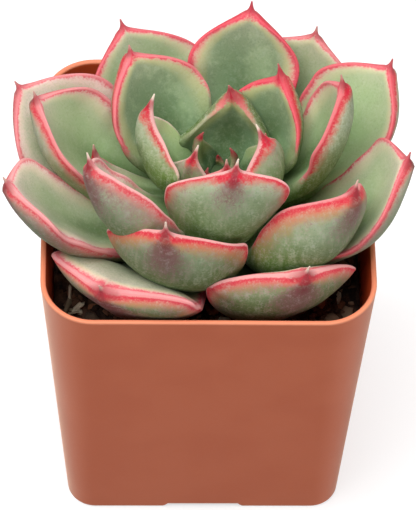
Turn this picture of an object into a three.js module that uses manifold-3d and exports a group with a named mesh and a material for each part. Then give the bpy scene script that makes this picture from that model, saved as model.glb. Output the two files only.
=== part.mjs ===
import * as THREE from 'three';
import { mergeVertices } from 'three/addons/utils/BufferGeometryUtils.js';
import Module from 'manifold-3d';

// Potted silhouette echeveria: a rosette of thick cupped leaves in a square plastic pot.
// Millimetres and degrees, +Z up. The pot stands on Z = 0 with its middle on the Z axis, its front to -Y.

// Pot
const rimWidth = 57;
const footWidth = 48.8;
const potHeight = 63.5;
const rimCorner = 9;
const footCorner = 5;
const wall = 0.9;
const lipRound = 0.25;
const footRound = 0.5;
const footStep = 1;
const floorUnderside = 1.7;
const floorTop = 2.9;
const recessInset = 1.8;
const recessDraft = 0.45;
const notchWidth = 12.6;
const notchSlope = 1;
const notchHeight = 1.2;
const drainRadius = 2.5;
const drainOffset = 14;

// Soil
const soilLevel = 49.5;
const soilRelief = 0.5;
const soilRings = [1, 0.86, 0.66, 0.42, 0.2];
const chipCount = 20;
const chipSeed = 7;
const chipSpread = 21.5;
const chipLength = [2, 5];
const chipWidth = [1.2, 2.6];
const chipThickness = [0.8, 1.6];
const chipTilt = 24;

// Clearance between pieces that touch
const gap = 0.3;

// Stem and the spiral that the leaves follow, oldest leaf first
const stemX = 1.5;
const stemY = -1;
const rootEnd = 38;
const rootRadius = 3.6;
const collarLevel = 50;
const collarRadius = 4.6;
const lowestLeaf = 54;
const highestLeaf = 69;
const stemBase = 6;
const stemTop = 1.8;
const stemTaper = 1.2;
const stemCap = 1;
const stemLevels = [0, 0.25, 0.5, 0.75, 1];
const leafInset = 0.8;
const lastOrder = 30;
const firstAzimuth = 307;
const divergence = 138.46;

// Leaf form shared by every leaf
const arcOfChord = 1.08;
const kneeDepth = 1.6;
const baseWidth = 0.34;
const baseSwell = 1.35;
const crownFullness = 1.64;
const mucroLength = 2.1;
const mucroGrowth = 0.03;
const longestMucro = 0.3;
// Leaves whose points are longer than their place in the spiral gives, and by how much
const longPoints = { 19: 1.2, 22: 1.6 };
const mucroTip = 0.3;
const mucroSlope = 0.22;
const rolledBy = 0.67;
const cuppedBy = 0.55;
const cupSoftness = 0.8;
const openingFrom = 0.6;
const opening = 0.25;
const thickness = 4.1;
const thicknessOfWidth = 0.19;
const rootThickness = 0.62;
const fullestFrom = 0.35;
const endThinning = 0.62;
const thinningPower = 2.2;
const pointThickness = 1.2;
const marginRadius = 0.35;
const rootMargin = 0.2;
const creasedFrom = 0.5;
const pointMargin = 0.9;
const upperBelly = 0.22;
const lowerBelly = 0.78;
const swellFrom = 0.3;
const swellPeak = 1.3;
const swellRise = 0.8;
const upperRounding = 0.8;
const lowerFlatness = 1.9;
const lowerRounding = 0.9;

// Leaves as they grew: place in the spiral, sway from it in degrees, reach from the stem's axis and
// height of the tip, width, sag of the midrib, cup and roll of the blade in degrees, where the blade
// is widest, the sideways bow of the midrib, how sharply the blade narrows and how far its upper face
// swells. Places 5 and 26 of the spiral are empty.
const leafSizes = [
  [0, -3, 27, 73, 27, 0.31, 40, -22, 0.74, -3.7, 0.78, 3.4],
  [1, 1, 25, 62, 24, 0.16, 30, 0, 0.62, 0, 0.78, 1],
  [2, 6, 31, 69.2, 29, 0.27, 35, 13, 0.82, 1.7, 0.78, 5],
  [3, -11, 32.5, 81.5, 21.5, 0.21, 41, 4, 0.76, -4, 0.78, 1],
  [4, 18, 37, 77.3, 25, 0.14, 50, -20, 0.65, 0.2, 0.78, 1],
  [6, -1, 32, 76, 25, 0.3, 25, 6, 0.65, 0, 0.78, 1],
  [7, -3, 37, 79, 19.5, 0.22, 58, 5, 0.8, 2.7, 0.78, 1.8],
  [8, -5, 26.5, 85, 23, 0.25, 88, -31, 0.6, -5.5, 0.78, 1.2],
  [9, 8, 32, 77, 24, 0.21, 40, -2, 0.63, -1, 0.78, 1],
  [10, -5, 22.5, 83, 27, 0.34, 50, 12, 0.61, 1, 0.78, 1],
  [11, -2, 34, 80.5, 22.5, 0.24, 60, 10, 0.7, -1, 0.78, 1],
  [12, -2, 32, 82, 22.5, 0.25, 74, -2, 0.67, 0.3, 0.78, 1],
  [13, -23, 12.5, 89, 21.5, 0.24, 32, -17, 0.76, -3, 0.78, 1],
  [14, -8, 28, 82, 21, 0.25, 42, 4, 0.66, 0, 0.78, 1],
  [15, -15, 25, 90.5, 19, 0.22, 88, 13, 0.6, 5.5, 0.78, 1.2],
  [16, 11, 21, 90, 17, 0.26, 72, -14, 0.65, -2.5, 0.78, 1],
  [17, -9, 22.5, 83, 22, 0.2, 46, -1, 0.54, 0, 0.78, 1],
  [18, -1, 8.5, 84, 13, 0.18, 45, 0, 0.62, 0, 0.78, 0.6],
  [19, -12, 14.5, 86, 18, 0.2, 52, 0, 0.5, -2, 0.8, 0.6],
  [20, -14, 21, 78, 7.5, 0.36, 40, 20, 0.5, 0, 1, 0.6],
  [21, 9, 6.5, 85, 19, 0.28, 46, -15, 0.36, -2, 1.1, 0.6],
  [22, -37, 7.5, 84, 20.5, 0.2, 66, 6, 0.16, -0.9, 0.95, 0.6],
  [23, -20, 5.5, 82.5, 12.5, 0.26, 35, 4, 0.36, 0, 1.1, 0.6],
  [24, -26, 8, 79.5, 9, 0.2, 35, 0, 0.2, 0, 1.4, 0.6],
  [25, 0, 11, 88, 16, 0.24, 60, 30, 0.46, 2.9, 1.3, 0.6],
  [27, 0, 2, 71.5, 4, 0.2, 30, 0, 0.12, 0, 1.3, 0.3],
  [28, 0, 2.2, 72.6, 6, 0.2, 30, 0, 0.2, 0, 1.2, 0.3],
  [29, 0, 2.1, 76, 4.5, 0.2, 30, 0, 0.12, 0, 1.3, 0.3],
  [30, 14.5, 2.7, 79, 6.5, 0.2, 30, -12, 0.12, 0, 1.3, 0.4],
];
const leaves = leafSizes.map(([
  order, sway, reach, height, width, sag, cup, roll, widest, bow, point, swell,
]) => ({ order, sway, reach, height, width, sag, cup, roll, widest, bow, point, swell }));

// Fineness of the solids
const cornerSteps = 7;
const stemSteps = 18;
const bodyRings = 7;
const smallBodyRings = 5;
const smallLeafFrom = 18;
const ringCrowding = 1.25;
const upperStations = [0.6, 0.2, -0.2, -0.6];
const lowerStations = [-0.66, -0.34, 0, 0.34, 0.66];
const rimStation = 0.55;

const radians = THREE.MathUtils.degToRad;
const clamp = THREE.MathUtils.clamp;
const lerp = THREE.MathUtils.lerp;
const quarterTurn = Math.PI / 2;
const overshoot = 1;
const weldDistance = 1e-4;
const leastCup = 1e-3;

const wasm = await Module();
wasm.setup();

// A closed solid through loops of points that all have the same count, with a fan at either end
function loft(loops) {
  const count = loops[0].length;
  const positions = loops.flat().flatMap((p) => [p.x, p.y, p.z]);
  const faces = [];
  for (let i = 0; i + 1 < loops.length; i += 1) {
    for (let j = 0; j < count; j += 1) {
      const k = (j + 1) % count;
      const a = i * count + j;
      const b = i * count + k;
      const c = (i + 1) * count + k;
      const d = (i + 1) * count + j;
      faces.push(a, b, c, a, c, d);
    }
  }
  const ends = [loops[0], loops.at(-1)];
  ends.forEach((loop, end) => {
    const middle = new THREE.Vector3();
    loop.forEach((p) => middle.addScaledVector(p, 1 / count));
    const hub = positions.length / 3;
    const start = end * (loops.length - 1) * count;
    positions.push(middle.x, middle.y, middle.z);
    for (let j = 0; j < count; j += 1) {
      const k = (j + 1) % count;
      faces.push(hub, start + (end ? j : k), start + (end ? k : j));
    }
  });
  const geometry = new THREE.BufferGeometry();
  geometry.setAttribute('position', new THREE.Float32BufferAttribute(positions, 3));
  geometry.setIndex(faces);
  return geometry;
}

function toSolid(geometry) {
  const plain = geometry.clone();
  plain.deleteAttribute('normal');
  plain.deleteAttribute('uv');
  const welded = mergeVertices(plain, weldDistance);
  const mesh = new wasm.Mesh({
    numProp: 3,
    vertProperties: new Float32Array(welded.attributes.position.array),
    triVerts: new Uint32Array(welded.index.array),
  });
  return new wasm.Manifold(mesh);
}

// The biggest body of a solid, so that no offcut is left beside it
function toGeometry(solid) {
  const bodies = solid.decompose();
  bodies.sort((p, q) => q.volume() - p.volume());
  const mesh = bodies[0].getMesh();
  const geometry = new THREE.BufferGeometry();
  const positions = [];
  for (let i = 0; i < mesh.numVert; i += 1) {
    const at = i * mesh.numProp;
    positions.push(...mesh.vertProperties.slice(at, at + 3));
  }
  geometry.setAttribute('position', new THREE.Float32BufferAttribute(positions, 3));
  geometry.setIndex(Array.from(mesh.triVerts));
  return geometry;
}

function roundedSquare(half, corner, z, scale = 1) {
  const points = [];
  for (let side = 0; side < 4; side += 1) {
    const middle = side * 90 + 45;
    const cx = (half - corner) * Math.sign(Math.cos(radians(middle)));
    const cy = (half - corner) * Math.sign(Math.sin(radians(middle)));
    for (let i = 0; i <= cornerSteps; i += 1) {
      const angle = radians(side * 90 + (90 * i) / cornerSteps);
      const x = cx + corner * Math.cos(angle);
      const y = cy + corner * Math.sin(angle);
      points.push(new THREE.Vector3(x * scale, y * scale, z));
    }
  }
  return points;
}

function circle(radius, z, x = 0, y = 0, steps = stemSteps) {
  const points = [];
  for (let i = 0; i < steps; i += 1) {
    const angle = (2 * Math.PI * i) / steps;
    points.push(new THREE.Vector3(x + radius * Math.cos(angle), y + radius * Math.sin(angle), z));
  }
  return points;
}

function rectangle(halfX, halfY, z) {
  const signs = [[1, 1], [-1, 1], [-1, -1], [1, -1]];
  return signs.map(([sx, sy]) => new THREE.Vector3(sx * halfX, sy * halfY, z));
}

// The pot's outside at a height, set in by an inset
function potOutline(z, inset = 0, scale = 1, at = z) {
  const up = z / potHeight;
  const half = lerp(footWidth, rimWidth, up) / 2 - inset;
  const corner = Math.max(lerp(footCorner, rimCorner, up) - inset, 1);
  return roundedSquare(half, corner, at, scale);
}

function makePot() {
  const outside = loft([
    potOutline(0, footRound),
    potOutline(footStep),
    potOutline(potHeight - lipRound),
    potOutline(potHeight, lipRound),
  ]);
  const inside = loft([
    potOutline(floorTop, wall),
    potOutline(potHeight, wall),
    potOutline(potHeight, wall, 1, potHeight + overshoot),
  ]);
  const recess = loft([
    potOutline(0, footRound + recessInset, 1, -overshoot),
    potOutline(floorUnderside, footRound + recessInset + recessDraft),
  ]);
  let solid = toSolid(outside).subtract(toSolid(inside)).subtract(toSolid(recess));
  const across = notchWidth / 2;
  const wide = across + notchSlope * (1 + overshoot / notchHeight);
  const alongY = loft([rectangle(wide, rimWidth, -overshoot), rectangle(across, rimWidth, notchHeight)]);
  const alongX = loft([rectangle(rimWidth, wide, -overshoot), rectangle(rimWidth, across, notchHeight)]);
  solid = solid.subtract(toSolid(alongY)).subtract(toSolid(alongX));
  for (const sx of [-1, 1]) {
    for (const sy of [-1, 1]) {
      const ends = [floorUnderside - overshoot, floorTop + overshoot];
      const hole = loft(ends.map((z) => circle(drainRadius, z, sx * drainOffset, sy * drainOffset)));
      solid = solid.subtract(toSolid(hole));
    }
  }
  return solid;
}

// Gentle lumps of the soil's surface
function soilHeight(x, y) {
  const lumps = Math.sin(x * 0.43 + 1) * Math.cos(y * 0.37 + 0.4) + 0.6 * Math.sin(x * 0.91 - y * 0.77);
  return soilLevel + soilRelief * lumps;
}

// Bark chips lying half sunk in the soil's surface, clear of the pot's wall
function addChips(solid) {
  THREE.MathUtils.seededRandom(chipSeed);
  const between = ([low, high]) => lerp(low, high, THREE.MathUtils.seededRandom());
  let lumpy = solid;
  for (let i = 0; i < chipCount; i += 1) {
    const chip = new THREE.BoxGeometry(between(chipLength), between(chipWidth), between(chipThickness));
    const tilt = radians(chipTilt);
    chip.rotateX(between([-tilt, tilt]));
    chip.rotateY(between([-tilt, tilt]));
    chip.rotateZ(between([0, Math.PI]));
    const x = between([-chipSpread, chipSpread]);
    const y = between([-chipSpread, chipSpread]);
    chip.translate(x, y, soilHeight(x, y));
    lumpy = lumpy.add(toSolid(chip));
  }
  return lumpy;
}

function makeSoil(stemCutter) {
  const inset = wall + gap;
  const rings = soilRings.map((scale) => {
    const ring = potOutline(soilLevel, inset, scale);
    ring.forEach((p) => { p.z = soilHeight(p.x, p.y); });
    return ring;
  });
  const body = loft([potOutline(floorTop + gap, inset), ...rings]);
  return addChips(toSolid(body)).subtract(stemCutter);
}

// How far up the leafy part of the stem a place in the spiral is, from 0 to 1
const climb = (order) => order / lastOrder;
const stemRadius = (up) => lerp(stemBase, stemTop, up ** stemTaper);

function makeStem(grow = 0) {
  const loops = [
    circle(rootRadius + grow, rootEnd - grow, stemX, stemY),
    circle(collarRadius + grow, collarLevel, stemX, stemY),
  ];
  for (const up of stemLevels) {
    loops.push(circle(stemRadius(up) + grow, lerp(lowestLeaf, highestLeaf, up), stemX, stemY));
  }
  loops.push(circle(stemTop / 2 + grow, highestLeaf + stemCap + grow, stemX, stemY));
  return toSolid(loft(loops));
}

// The drawn-out point's share of the leaf's length
function mucroShare(leaf, length) {
  const own = longPoints[leaf.order] ?? 0;
  return Math.min((mucroLength + mucroGrowth * leaf.order + own) / length, longestMucro);
}

// Half the blade's width at t, from the base at 0 to the point at 1, as a share of its half width
function bladeShare(leaf, t, length) {
  const mucro = mucroShare(leaf, length);
  const rise = Math.sin(quarterTurn * clamp(t / leaf.widest, 0, 1)) ** baseSwell;
  if (t < leaf.widest) return lerp(baseWidth, 1, rise);
  const x = clamp((t - leaf.widest) / (1 - mucro - leaf.widest), 0, 1);
  const dome = (1 - x ** (crownFullness / leaf.point)) ** leaf.point;
  const point = (2 * (mucroTip + mucroSlope * (1 - t) * length)) / leaf.width;
  return dome + Math.min(point, 1) * (1 - dome);
}

// The radius of the blade's rounded margin: a thick round edge at the root, a fine crease further out
function marginAt(t, half) {
  const creased = clamp(t / creasedFrom, 0, 1);
  return Math.min(lerp(rootMargin * half, marginRadius, creased), pointMargin * half);
}

// Everything about a leaf that its points are worked out from
function leafFrame(leaf) {
  const azimuth = radians(firstAzimuth + divergence * leaf.order + leaf.sway);
  const out = new THREE.Vector3(Math.cos(azimuth), Math.sin(azimuth), 0);
  const up = new THREE.Vector3(0, 0, 1);
  const share = climb(leaf.order);
  const base = new THREE.Vector2(stemRadius(share) - leafInset, lerp(lowestLeaf, highestLeaf, share));
  const tip = new THREE.Vector2(leaf.reach, leaf.height);
  const chord = tip.clone().sub(base);
  const below = new THREE.Vector2(chord.y, -chord.x).multiplyScalar(kneeDepth * leaf.sag);
  const knee = base.clone().add(tip).multiplyScalar(0.5).add(below);
  return { out, up, side: up.clone().cross(out), base, knee, tip, length: chord.length() * arcOfChord };
}

// A point of a leaf: t along it, s across it from -1 to 1, face 1 above and -1 below
function leafPoint(leaf, frame, t, s, face, grow = 0) {
  const { out, up, side, base, knee, tip, length } = frame;
  const at = new THREE.Vector2()
    .addScaledVector(base, (1 - t) ** 2)
    .addScaledVector(knee, 2 * t * (1 - t))
    .addScaledVector(tip, t * t);
  const ahead = new THREE.Vector2()
    .addScaledVector(knee.clone().sub(base), 1 - t)
    .addScaledVector(tip.clone().sub(knee), t)
    .normalize();
  const inner = up.clone().multiplyScalar(ahead.x).addScaledVector(out, -ahead.y);
  const roll = radians(leaf.roll) * clamp(t / rolledBy, 0, 1);
  const across = side.clone().multiplyScalar(Math.cos(roll)).addScaledVector(inner, Math.sin(roll));
  const normal = inner.clone().multiplyScalar(Math.cos(roll)).addScaledVector(side, -Math.sin(roll));

  const half = (leaf.width / 2) * bladeShare(leaf, t, length) + grow;
  const fold = Math.sin(quarterTurn * clamp(t / cuppedBy, 0, 1)) ** cupSoftness;
  const opened = opening * clamp((t - openingFrom) / (1 - openingFrom), 0, 1);
  const cup = radians(leaf.cup) * fold * (1 - opened) + leastCup;
  const bend = cup * s;
  const x = (half * Math.sin(bend)) / cup;
  const y = (half * (1 - Math.cos(bend))) / cup;

  const fullest = Math.min(thickness, leaf.width * thicknessOfWidth);
  const root = lerp(rootThickness, 1, Math.sin(quarterTurn * clamp(t / fullestFrom, 0, 1)));
  const thinned = fullest * root * (1 - endThinning * t ** thinningPower);
  const margin = marginAt(t, half);
  const thick = Math.min(thinned, pointThickness * Math.max(half - margin, 0));
  const rimStart = 1 - margin / half;
  const rim = Math.sqrt(Math.max(0, 1 - clamp((Math.abs(s) - rimStart) / (1 - rimStart), 0, 1) ** 2));
  const lift = Math.sin(Math.PI * clamp((t - swellFrom) / (1 - swellFrom), 0, 1) ** swellPeak);
  const swollen = Math.min(leaf.swell * lift, swellRise * Math.max(half - margin, 0));
  const above = (upperBelly * thick + swollen) * (1 - s * s) ** upperRounding;
  const below = lowerBelly * thick * (1 - Math.abs(s) ** lowerFlatness) ** lowerRounding;
  const offset = face * ((margin + grow) * rim + (face > 0 ? above : below));

  return new THREE.Vector3(stemX, stemY, 0)
    .addScaledVector(out, at.x)
    .addScaledVector(up, at.y)
    .addScaledVector(side, 4 * leaf.bow * t * (1 - t))
    .addScaledVector(across, x - offset * Math.sin(bend))
    .addScaledVector(normal, y + offset * Math.cos(bend));
}

function makeLeaf(leaf, grow = 0) {
  const frame = leafFrame(leaf);
  const mucro = mucroShare(leaf, frame.length);
  const rings = leaf.order < smallLeafFrom ? bodyRings : smallBodyRings;
  const stops = [];
  for (let i = 0; i <= rings; i += 1) {
    stops.push((1 - mucro) * (1 - (1 - i / rings) ** ringCrowding));
  }
  stops.push(1 - 0.5 * mucro, 1);
  const loops = stops.map((t) => {
    const half = (leaf.width / 2) * bladeShare(leaf, t, frame.length) + grow;
    const rim = 1 - (rimStation * marginAt(t, half)) / half;
    const point = (s, face) => leafPoint(leaf, frame, t, s, face, grow);
    return [
      point(1, 1),
      ...[rim, ...upperStations, -rim].map((s) => point(s, 1)),
      point(-1, 1),
      ...[-rim, ...lowerStations, rim].map((s) => point(s, -1)),
    ];
  });
  return toSolid(loft(loops));
}

// Each leaf gives way to the stem and to every younger leaf that lies on it
function makeLeaves(stemCutter) {
  const made = [];
  const cutters = [stemCutter];
  for (const leaf of leaves.toReversed()) {
    let solid = makeLeaf(leaf);
    for (const cutter of cutters) {
      solid = solid.subtract(cutter);
    }
    made.unshift(solid);
    cutters.push(makeLeaf(leaf, gap));
  }
  return made;
}

const potPlastic = new THREE.MeshStandardMaterial({ name: 'pot_plastic', color: 0xb8674a, roughness: 0.45 });
const pottingMix = new THREE.MeshStandardMaterial({ name: 'potting_mix', color: 0x2a1c14, roughness: 1 });
const stemFlesh = new THREE.MeshStandardMaterial({ name: 'stem_flesh', color: 0x8a9a62, roughness: 0.7 });
const leafFlesh = new THREE.MeshStandardMaterial({ name: 'leaf_flesh', color: 0x8fae84, roughness: 0.55 });

const group = new THREE.Group();

function addNode(name, solid, material) {
  const mesh = new THREE.Mesh(toGeometry(solid), material);
  mesh.name = name;
  group.add(mesh);
}

const stemCutter = makeStem(gap);
const leafSolids = makeLeaves(stemCutter);
let soil = makeSoil(stemCutter);
for (const leaf of leaves) {
  soil = soil.subtract(makeLeaf(leaf, gap));
}
addNode('pot', makePot(), potPlastic);
addNode('soil', soil, pottingMix);
addNode('stem', makeStem(), stemFlesh);
leafSolids.forEach((solid, i) => {
  addNode(`leaf_${String(i + 1).padStart(2, '0')}`, solid, leafFlesh);
});

export default group;
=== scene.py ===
"""Potted silhouette echeveria: a rosette of thick cupped leaves with red margins, in a small square
terracotta-coloured pot.

+Z is up and the pot's front is to -Y. Sizes are in millimetres and turned into metres by MM, except
for the studio's, which are in metres.
"""

import math
from types import SimpleNamespace

import bpy
import numpy as np
from mathutils import Matrix, Vector


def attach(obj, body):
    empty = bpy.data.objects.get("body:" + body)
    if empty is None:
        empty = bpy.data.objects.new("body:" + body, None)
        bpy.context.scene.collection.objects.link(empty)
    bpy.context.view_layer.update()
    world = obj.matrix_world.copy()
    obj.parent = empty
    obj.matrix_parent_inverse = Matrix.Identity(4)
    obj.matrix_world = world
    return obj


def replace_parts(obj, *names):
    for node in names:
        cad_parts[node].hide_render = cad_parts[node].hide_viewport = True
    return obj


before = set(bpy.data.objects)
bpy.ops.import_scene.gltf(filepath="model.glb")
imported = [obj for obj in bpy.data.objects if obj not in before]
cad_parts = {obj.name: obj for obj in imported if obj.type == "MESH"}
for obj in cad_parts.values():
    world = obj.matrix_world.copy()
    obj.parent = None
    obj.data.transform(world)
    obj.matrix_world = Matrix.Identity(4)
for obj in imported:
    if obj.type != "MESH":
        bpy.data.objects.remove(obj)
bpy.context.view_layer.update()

MM = 0.001

# Camera: angles in degrees, the aim in millimetres, the distance in metres
CAMERA_ELEVATION = 54.0
CAMERA_YAW = -2.0
CAMERA_ROLL = 1.75
CAMERA_AIM = (0.45, 0, 44.0)
CAMERA_DISTANCE = 0.7
CAMERA_SENSOR = 36
FOCAL_LENGTH_PX = 3980
PICTURE_HEIGHT_PX = 510
CLIP_NEAR = 0.01
CLIP_FAR = 20

# Studio: each soft light's place, the point it looks at, its width, height and power in watts
LIGHTS = {
    "softbox_over": ((-0.15, -0.05, 0.75), (0, 0, 0.06), 0.6, 0.6, 6.0),
    "softbox_front": ((0.2, -0.8, 0.45), (0, 0, 0.05), 0.6, 0.6, 2.6),
    "softbox_left": ((-0.7, 0.0, 0.2), (0, 0, 0.05), 0.4, 0.6, 1.1),
    "softbox_right": ((0.7, 0.0, 0.2), (0, 0, 0.05), 0.4, 0.6, 1.5),
    "softbox_back": ((0.1, 0.8, 0.4), (0, 0, 0.05), 0.6, 0.6, 1.6),
}
WORLD_LIGHT = 0.14
FLOOR_REACH = 3.0
FLOOR_GLOW = 0.6

# Pot
RIM_WIDTH = 57.0
FOOT_WIDTH = 48.8
POT_HEIGHT = 63.5
RIM_CORNER = 9.0
FOOT_CORNER = 5.0
LEAST_CORNER = 0.8
WALL = 0.9
LIP_ROUND = 0.32
FOOT_ROUND = 0.5
FLOOR_UNDERSIDE = 1.7
FLOOR_TOP = 2.9
FLOOR_FILLET = 0.5
FILLET_MIDDLE = 0.12
RECESS_INSET = 1.8
RECESS_TAPER = 0.4
RECESS_ROUND = 0.15
RECESS_TOP_INSET = 0.6
NOTCH_WIDTH = 12.6
NOTCH_SLOPE = 1.0
NOTCH_HEIGHT = 1.2
NOTCH_DEPTH = 4
DRAIN_RADIUS = 2.5
DRAIN_OFFSET = 14.0
DRAIN_STEPS = 40
DRAIN_OVERSHOOT = 0.6
WALL_WARP = 0.11
LIP_WARP = 0.07
SHEEN_OUTSIDE = 0.9
OUTER_LEVELS = (0.8, 1.0, 1.2, 1.45, 2, 3.5, 6, 12, 20, 30, 40, 50, 56, 60, 62, 62.8)
INNER_LEVELS = (62.6, 61.5, 60, 57, 54, 51, 48, 40, 30, 20, 12, 6, 4)
FLOOR_RINGS = (0.8, 0.5, 0.2)

# Soil
SOIL_LEVEL = 49.5
SOIL_RELIEF = 0.5
SOIL_CLEARANCE = 0.3
SOIL_CORNER = 5
SOIL_WALL_LEVELS = (20, 35, 46)
SOIL_RINGS = 70
SOIL_OVER_FLOOR = 0.3
BEYOND_FOOT = 2.2
BALL_RINGS = 6
BALL_STEPS = 8
# Rough top of the soil: how high its lumps of each kind stand, how large they are, seed and waves
SOIL_LUMPS = ((0.45, 2.2, 61, 12), (0.22, 0.9, 62, 14), (0.1, 0.45, 63, 14))
# Where the pale shreds and the pebbles lie, left to right and front to back
PALE_SPOTS = [
    (-23.6, -14.0), (-22.8, -15.6), (-24.0, -16.6), (-21.4, -16.0), (1.5, -18.2), (-2.4, -18.6), (22.8, -13.0),
]
PEBBLE_SPOTS = [(24.2, -16.4), (-20.0, -18.2), (21.6, -18.6)]

# Stem and the spiral that the leaves follow
STEM_X = 1.5
STEM_Y = -1.0
STEM_STEPS = 48
ROOT_END = 38.0
ROOT_SHOULDER = 40.0
ROOT_RADIUS = 3.6
COLLAR_LEVEL = 50.0
COLLAR_RADIUS = 4.6
LOWEST_LEAF = 54.0
HIGHEST_LEAF = 69.0
STEM_BASE = 6.0
STEM_TOP = 1.8
STEM_TAPER = 1.2
SCAR_DEPTH = 0.045
SCARRED = (46, 66)
RING_DEPTH = 0.03
LEAF_INSET = 0.8
LAST_ORDER = 30
FIRST_AZIMUTH = 307.0
DIVERGENCE = 138.46

# Leaf outline. A leaf's point (its mucro) is longer the later it grew, and longer still on two leaves
ARC_OF_CHORD = 1.08
KNEE_DEPTH = 1.6
BASE_WIDTH = 0.34
BASE_SWELL = 1.35
CROWN_FULLNESS = 1.64
MUCRO_LENGTH = 2.1
MUCRO_GROWTH = 0.03
LONGEST_MUCRO = 0.3
LONG_POINTS = {19: 1.2, 22: 1.6}
MUCRO_TIP = 0.13
MUCRO_SLOPE = 0.11
MUCRO_FLARE = 0.055
SHOULDER = 0.3
SHOULDER_SLOPE = 0.22
TIP_SOFTNESS = 0.75
POINT_CAP = 0.12

# Leaf form: roll, cup, thickness, margin, the two faces' bellies, valley, keel and unevenness. A start,
# rise or end is a share of the leaf's length
ROLLED_BY = 0.67
CUPPED_BY = 0.55
CUP_SOFTNESS = 0.8
LEAST_CUP = 0.001
OPENING_FROM = 0.6
OPENING = 0.25
THICKNESS = 4.1
THICKNESS_OF_WIDTH = 0.19
ROOT_THICKNESS = 0.62
FULLEST_FROM = 0.35
END_THINNING = 0.62
THINNING_POWER = 2.2
POINT_THICKNESS = 1.2
MARGIN_RADIUS = 0.2
ROOT_MARGIN = 0.2
CREASED_FROM = 0.5
POINT_MARGIN = 0.9
UPPER_BELLY = 0.22
LOWER_BELLY = 0.78
SWELL_FROM = 0.3
SWELL_PEAK = 1.3
SWELL_RISE = 0.8
UPPER_ROUNDING = 0.8
LOWER_FLATNESS = 1.9
USUAL_WIDTH = 22
VALLEY = 0.3
VALLEY_WIDTH = 0.3
VALLEY_RUN = {"start": 0.1, "rise": 0.3, "end": 1 / 3}
KEEL = 0.35
KEEL_WIDTH = 0.11
KEEL_RUN = {"start": 0.45, "rise": 0.35, "end": 0.25}
MARGIN_WAVE = 0.32
WAVES_ALONG = ((1.7, 3.9), (1.5, 4.3))
WAVE_SEED = 500
SURFACE_WAVE = 0.1
SURFACE_WAVE_SIZE = 5
SURFACE_WAVE_SEED = 900

# Where colours lie on a leaf: widths are shares of half the blade, reaches are from the tip or, for a
# margin's, from the margin
MAUVE_WIDTH = 0.42
MAUVE_REACH = 9
MARGIN_MAUVE_REACH = 3.6
CORE_WIDTH = 0.36
CORE_REACH = 8
BLOOM_REACH = 6
MARGIN_BLOOM_REACH = 3.2
# Width of the painted shade down the middle of the upper face's hollow
HOLLOW_SHADE_WIDTH = 0.42

# Leaf mesh
OUTLINE_STEPS = 1200
LEAF_ROWS = 72
ROW_CROWDING = 1.55
BLADE_POINTS = 27
BLADE_CROWDING = 0.9
RIM_POINTS = 5

# Leaves as they grew: place in the spiral, sway from it in degrees, reach from the stem's axis and
# height of the tip, width, sag of the midrib, cup and roll of the blade in degrees, where the blade
# is widest, the sideways bow of the midrib, how sharply the blade narrows and how far its upper face
# swells
LEAF_SIZES = [
    (0, -3, 27, 73, 27, 0.31, 40, -22, 0.74, -3.7, 0.78, 3.4),
    (1, 1, 25, 62, 24, 0.16, 30, 0, 0.62, 0, 0.78, 1),
    (2, 6, 31, 69.2, 29, 0.27, 35, 13, 0.82, 1.7, 0.78, 5),
    (3, -11, 32.5, 81.5, 21.5, 0.21, 41, 4, 0.76, -4, 0.78, 1),
    (4, 18, 37, 77.3, 25, 0.14, 50, -20, 0.65, 0.2, 0.78, 1),
    (6, -1, 32, 76, 25, 0.3, 25, 6, 0.65, 0, 0.78, 1),
    (7, -3, 37, 79, 19.5, 0.22, 58, 5, 0.8, 2.7, 0.78, 1.8),
    (8, -5, 26.5, 85, 23, 0.25, 88, -31, 0.6, -5.5, 0.78, 1.2),
    (9, 8, 32, 77, 24, 0.21, 40, -2, 0.63, -1, 0.78, 1),
    (10, -5, 22.5, 83, 27, 0.34, 50, 12, 0.61, 1, 0.78, 1),
    (11, -2, 34, 80.5, 22.5, 0.24, 60, 10, 0.7, -1, 0.78, 1),
    (12, -2, 32, 82, 22.5, 0.25, 74, -2, 0.67, 0.3, 0.78, 1),
    (13, -23, 12.5, 89, 21.5, 0.24, 32, -17, 0.76, -3, 0.78, 1),
    (14, -8, 28, 82, 21, 0.25, 42, 4, 0.66, 0, 0.78, 1),
    (15, -15, 25, 90.5, 19, 0.22, 88, 13, 0.6, 5.5, 0.78, 1.2),
    (16, 11, 21, 90, 17, 0.26, 72, -14, 0.65, -2.5, 0.78, 1),
    (17, -9, 22.5, 83, 22, 0.2, 46, -1, 0.54, 0, 0.78, 1),
    (18, -1, 8.5, 84, 13, 0.18, 45, 0, 0.62, 0, 0.78, 0.6),
    (19, -12, 14.5, 86, 18, 0.2, 52, 0, 0.5, -2, 0.8, 0.6),
    (20, -14, 21, 78, 7.5, 0.36, 40, 20, 0.5, 0, 1, 0.6),
    (21, 9, 6.5, 85, 19, 0.28, 46, -15, 0.36, -2, 1.1, 0.6),
    (22, -37, 7.5, 84, 20.5, 0.2, 66, 6, 0.16, -0.9, 0.95, 0.6),
    (23, -20, 5.5, 82.5, 12.5, 0.26, 35, 4, 0.36, 0, 1.1, 0.6),
    (24, -26, 8, 79.5, 9, 0.2, 35, 0, 0.2, 0, 1.4, 0.6),
    (25, 0, 11, 88, 16, 0.24, 60, 30, 0.46, 2.9, 1.3, 0.6),
    (27, 0, 2, 71.5, 4, 0.2, 30, 0, 0.12, 0, 1.3, 0.3),
    (28, 0, 2.2, 72.6, 6, 0.2, 30, 0, 0.2, 0, 1.2, 0.3),
    (29, 0, 2.1, 76, 4.5, 0.2, 30, 0, 0.12, 0, 1.3, 0.3),
    (30, 14.5, 2.7, 79, 6.5, 0.2, 30, -12, 0.12, 0, 1.3, 0.4),
]
LEAF_FIELDS = ("order", "sway", "reach", "height", "width", "sag", "cup", "roll", "widest", "bow", "point", "swell")
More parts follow.
